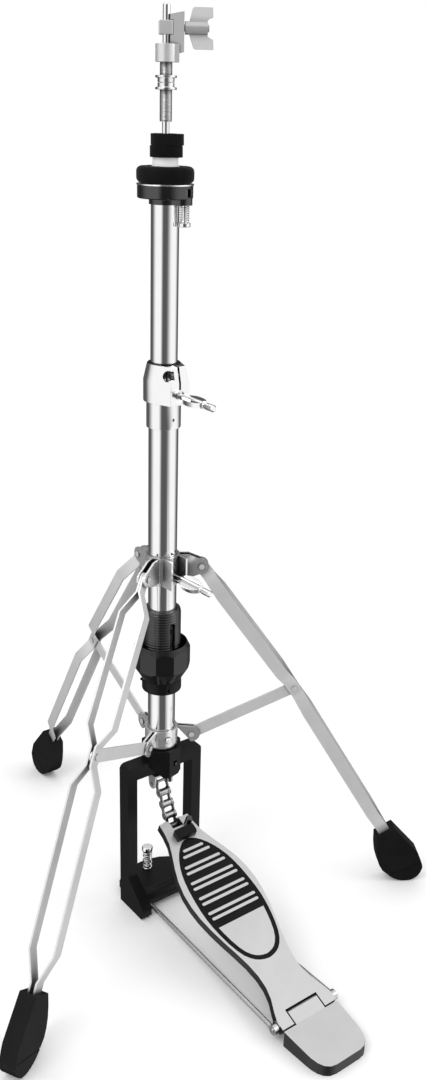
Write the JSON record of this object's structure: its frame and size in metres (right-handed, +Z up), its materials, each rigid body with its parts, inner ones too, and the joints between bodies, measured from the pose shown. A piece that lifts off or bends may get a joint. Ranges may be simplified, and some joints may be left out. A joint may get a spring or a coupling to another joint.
{
  "type": "hi-hat cymbal stand",
  "caption": "Folding hi-hat stand: braced tripod, telescopic tube, spring-loaded pull rod with clutch and cymbal seat, and a chain-driven footboard in a cast frame.",
  "frame": {"origin": "on the floor under the tube axis, on the underside of the pedal frame's base", "axes": "+Z up along the tube, -Y towards the heel of the pedal, +X to the right for someone facing +Y"},
  "size_m": [0.5268, 0.6062, 0.899],
  "materials": {
    "chrome": "bright chrome plate",
    "steel": "zinc plated, satin",
    "dark_steel": "black nickel, satin",
    "alloy": "polished top, black painted sides",
    "black_casting": "satin black powder coat",
    "black_plastic": "moulded, fine texture",
    "black_rubber": "matt",
    "black_felt": "pressed felt",
    "white_nylon": "smooth"
  },
  "bodies": {
    "base": {"pedal_frame": "black_casting", "hub_key_screw": "chrome", "heel_plate": "alloy", "heel_pin": "steel", "radius_rod_left": "chrome", "radius_rod_right": "chrome", "lower_tube": "chrome", "tension_sleeve": "black_plastic", "height_clamp": "chrome", "clamp_bushing": "black_plastic", "clamp_key_bolt": "chrome", "anchor_spring": "steel"},
    "anchor_spur": {"anchor_spur": "chrome"},
    "footboard": {"footboard": "alloy", "footboard_grip": "black_rubber", "toe_block": "black_plastic", "toe_screw": "dark_steel", "toe_pin": "steel"},
    "pull_rod": {"cymbal_rod": "chrome", "spring_rod": "steel", "spring_cap": "steel", "chain_clevis": "chrome"},
    "chain": {"chain_link_1": "dark_steel", "chain_link_2": "steel", "chain_link_3": "dark_steel", "chain_link_4": "steel"},
    "spring_seat": {"spring_seat": "steel", "return_spring": "steel"},
    "tension_nut": {"tension_nut": "black_plastic"},
    "tripod": {"lower_collar": "chrome", "lower_collar_screw": "chrome"},
    "upper_collar": {"upper_collar": "chrome"},
    "tripod_wing_screw": {"tripod_wing_screw": "chrome"},
    "height_wing_screw": {"height_wing_screw": "chrome"},
    "upper_tube": {"upper_tube": "chrome", "seat_cup": "black_plastic", "tilt_spring": "steel"},
    "tilt_screw": {"tilt_screw": "chrome"},
    "cymbal_seat": {"tilt_washer": "chrome", "seat_felt": "black_felt", "seat_sleeve": "white_nylon"},
    "loose_felt_lower": {"loose_felt_lower": "black_felt"},
    "loose_felt_upper": {"loose_felt_upper": "black_felt"},
    "clutch": {"clutch_body": "chrome", "clutch_eye_bolt": "chrome"},
    "clutch_wing_nut": {"clutch_wing_nut": "chrome"},
    "clutch_nut_upper": {"clutch_nut_upper": "chrome"},
    "clutch_nut_lower": {"clutch_nut_lower": "chrome"},
    "leg_a": {"leg_a_strip_left": "chrome", "leg_a_strip_right": "chrome", "foot_a": "black_rubber"},
    "brace_a": {"brace_a": "chrome"},
    "leg_b": {"leg_b_strip_left": "chrome", "leg_b_strip_right": "chrome", "foot_b": "black_rubber"},
    "brace_b": {"brace_b": "chrome"},
    "leg_c": {"leg_c_strip_left": "chrome", "leg_c_strip_right": "chrome", "foot_c": "black_rubber"},
    "brace_c": {"brace_c": "chrome"}
  },
  "joints": [
    {"name": "footboard_press", "type": "hinge", "parent": "base", "child": "footboard", "pos_m": [0, -0.2445, 0.0145], "axis": [1, 0, 0], "range_deg": [-7.55, 0], "stiffness_Nm_per_rad": 12, "springref_deg": 20.05},
    {"name": "pull_rod_slide", "type": "slide", "parent": "base", "child": "pull_rod", "axis": [0, 0, 1], "range_m": [-0.027, 0.0005], "deforming": ["return_spring"]},
    {"name": "chain_swing", "type": "hinge", "parent": "pull_rod", "child": "chain", "pos_m": [0, 0, 0.141], "axis": [1, 0, 0], "range_deg": [-0.5, 11]},
    {"name": "anchor_spur_slide", "type": "slide", "parent": "base", "child": "anchor_spur", "axis": [0, 0, 1], "range_m": [-0.006, 0], "stiffness_N_per_m": 400, "springref_m": 0.002, "deforming": ["anchor_spring"]},
    {"name": "spring_tension", "type": "slide", "parent": "base", "child": "spring_seat", "axis": [0, 0, 1], "range_m": [0, 0.022]},
    {"name": "tension_nut_turn", "type": "hinge", "parent": "spring_seat", "child": "tension_nut", "pos_m": [0, 0, 0.29], "axis": [0, 0, 1], "range_deg": [-10, 3980]},
    {"name": "tripod_swivel", "type": "hinge", "parent": "base", "child": "tripod", "pos_m": [0, 0, 0.2005], "axis": [0, 0, 1], "range_deg": [-15, 15]},
    {"name": "tripod_fold", "type": "slide", "parent": "tripod", "child": "upper_collar", "axis": [0, 0, 1], "range_m": [0, 0.0904]},
    {"name": "leg_a_fold", "type": "hinge", "parent": "upper_collar", "child": "leg_a", "pos_m": [-0.03415, -0.01862, 0.3932], "axis": [0.4787, -0.878, 0], "range_deg": [-0.3, 24.9]},
    {"name": "brace_a_fold", "type": "hinge", "parent": "tripod", "child": "brace_a", "pos_m": [-0.02801, -0.01527, 0.1996], "axis": [0.4787, -0.878, 0], "range_deg": [-45.3, 0.3]},
    {"name": "leg_b_fold", "type": "hinge", "parent": "upper_collar", "child": "leg_b", "pos_m": [0.00095, 0.03889, 0.3932], "axis": [-0.9997, 0.0244, 0], "range_deg": [-0.3, 24.9]},
    {"name": "brace_b_fold", "type": "hinge", "parent": "tripod", "child": "brace_b", "pos_m": [0.00078, 0.03189, 0.1996], "axis": [-0.9997, 0.0244, 0], "range_deg": [-45.3, 0.3]},
    {"name": "leg_c_fold", "type": "hinge", "parent": "upper_collar", "child": "leg_c", "pos_m": [0.0332, -0.02027, 0.3932], "axis": [0.521, 0.8536, 0], "range_deg": [-0.3, 24.9]},
    {"name": "brace_c_fold", "type": "hinge", "parent": "tripod", "child": "brace_c", "pos_m": [0.02723, -0.01662, 0.1996], "axis": [0.521, 0.8536, 0], "range_deg": [-45.3, 0.3]},
    {"name": "tripod_wing_screw_turn", "type": "hinge", "parent": "upper_collar", "child": "tripod_wing_screw", "pos_m": [0.00251, -0.03992, 0.388], "axis": [0.0628, -0.998, 0], "continuous": true},
    {"name": "height_wing_screw_turn", "type": "hinge", "parent": "base", "child": "height_wing_screw", "pos_m": [0, -0.04, 0.571], "axis": [0, -1, 0], "continuous": true},
    {"name": "height_slide", "type": "slide", "parent": "base", "child": "upper_tube", "axis": [0, 0, 1], "range_m": [-0.09, 0.001]},
    {"name": "seat_tilt", "type": "hinge", "parent": "upper_tube", "child": "cymbal_seat", "pos_m": [-0.0127, 0.022, 0.7551], "axis": [-0.866, -0.5, 0], "range_deg": [0, 2.5], "stiffness_Nm_per_rad": 0.5, "springref_deg": -11.46},
    {"name": "tilt_screw_turn", "type": "hinge", "parent": "upper_tube", "child": "tilt_screw", "pos_m": [0.0094, -0.01628, 0.73], "axis": [0, 0, 1], "range_deg": [-5, 560.4]},
    {"name": "lower_felt_slide", "type": "slide", "parent": "cymbal_seat", "child": "loose_felt_lower", "axis": [0, 0, 1], "range_m": [0, 0.003]},
    {"name": "upper_felt_slide", "type": "slide", "parent": "loose_felt_lower", "child": "loose_felt_upper", "axis": [0, 0, 1], "range_m": [0, 0.003]},
    {"name": "clutch_slide", "type": "slide", "parent": "pull_rod", "child": "clutch", "axis": [0, 0, 1], "range_m": [0, 0.009], "stiffness_N_per_m": 600, "springref_m": -0.004},
    {"name": "clutch_wing_nut_turn", "type": "hinge", "parent": "clutch", "child": "clutch_wing_nut", "pos_m": [0.0212, -0.01325, 0.8805], "axis": [0.848, -0.5299, 0], "continuous": true},
    {"name": "clutch_nut_upper_turn", "type": "hinge", "parent": "clutch", "child": "clutch_nut_upper", "pos_m": [0, 0, 0.841], "axis": [0, 0, 1], "continuous": true},
    {"name": "clutch_nut_lower_turn", "type": "hinge", "parent": "clutch", "child": "clutch_nut_lower", "pos_m": [0, 0, 0.835], "axis": [0, 0, 1], "continuous": true}
  ],
  "couplings": [
    {"joint": "pull_rod_slide", "follows": "footboard_press", "m_per_rad": 0.2011},
    {"joint": "chain_swing", "follows": "footboard_press", "ratio": -1.3974},
    {"joint": "tension_nut_turn", "follows": "spring_tension", "rad_per_m": 3141.6},
    {"joint": "leg_a_fold", "follows": "tripod_fold", "rad_per_m": 4.7321},
    {"joint": "brace_a_fold", "follows": "tripod_fold", "rad_per_m": -8.6533},
    {"joint": "leg_b_fold", "follows": "tripod_fold", "rad_per_m": 4.7321},
    {"joint": "brace_b_fold", "follows": "tripod_fold", "rad_per_m": -8.6533},
    {"joint": "leg_c_fold", "follows": "tripod_fold", "rad_per_m": 4.7321},
    {"joint": "brace_c_fold", "follows": "tripod_fold", "rad_per_m": -8.6533},
    {"joint": "tilt_screw_turn", "follows": "seat_tilt", "ratio": 222.17}
  ]
}
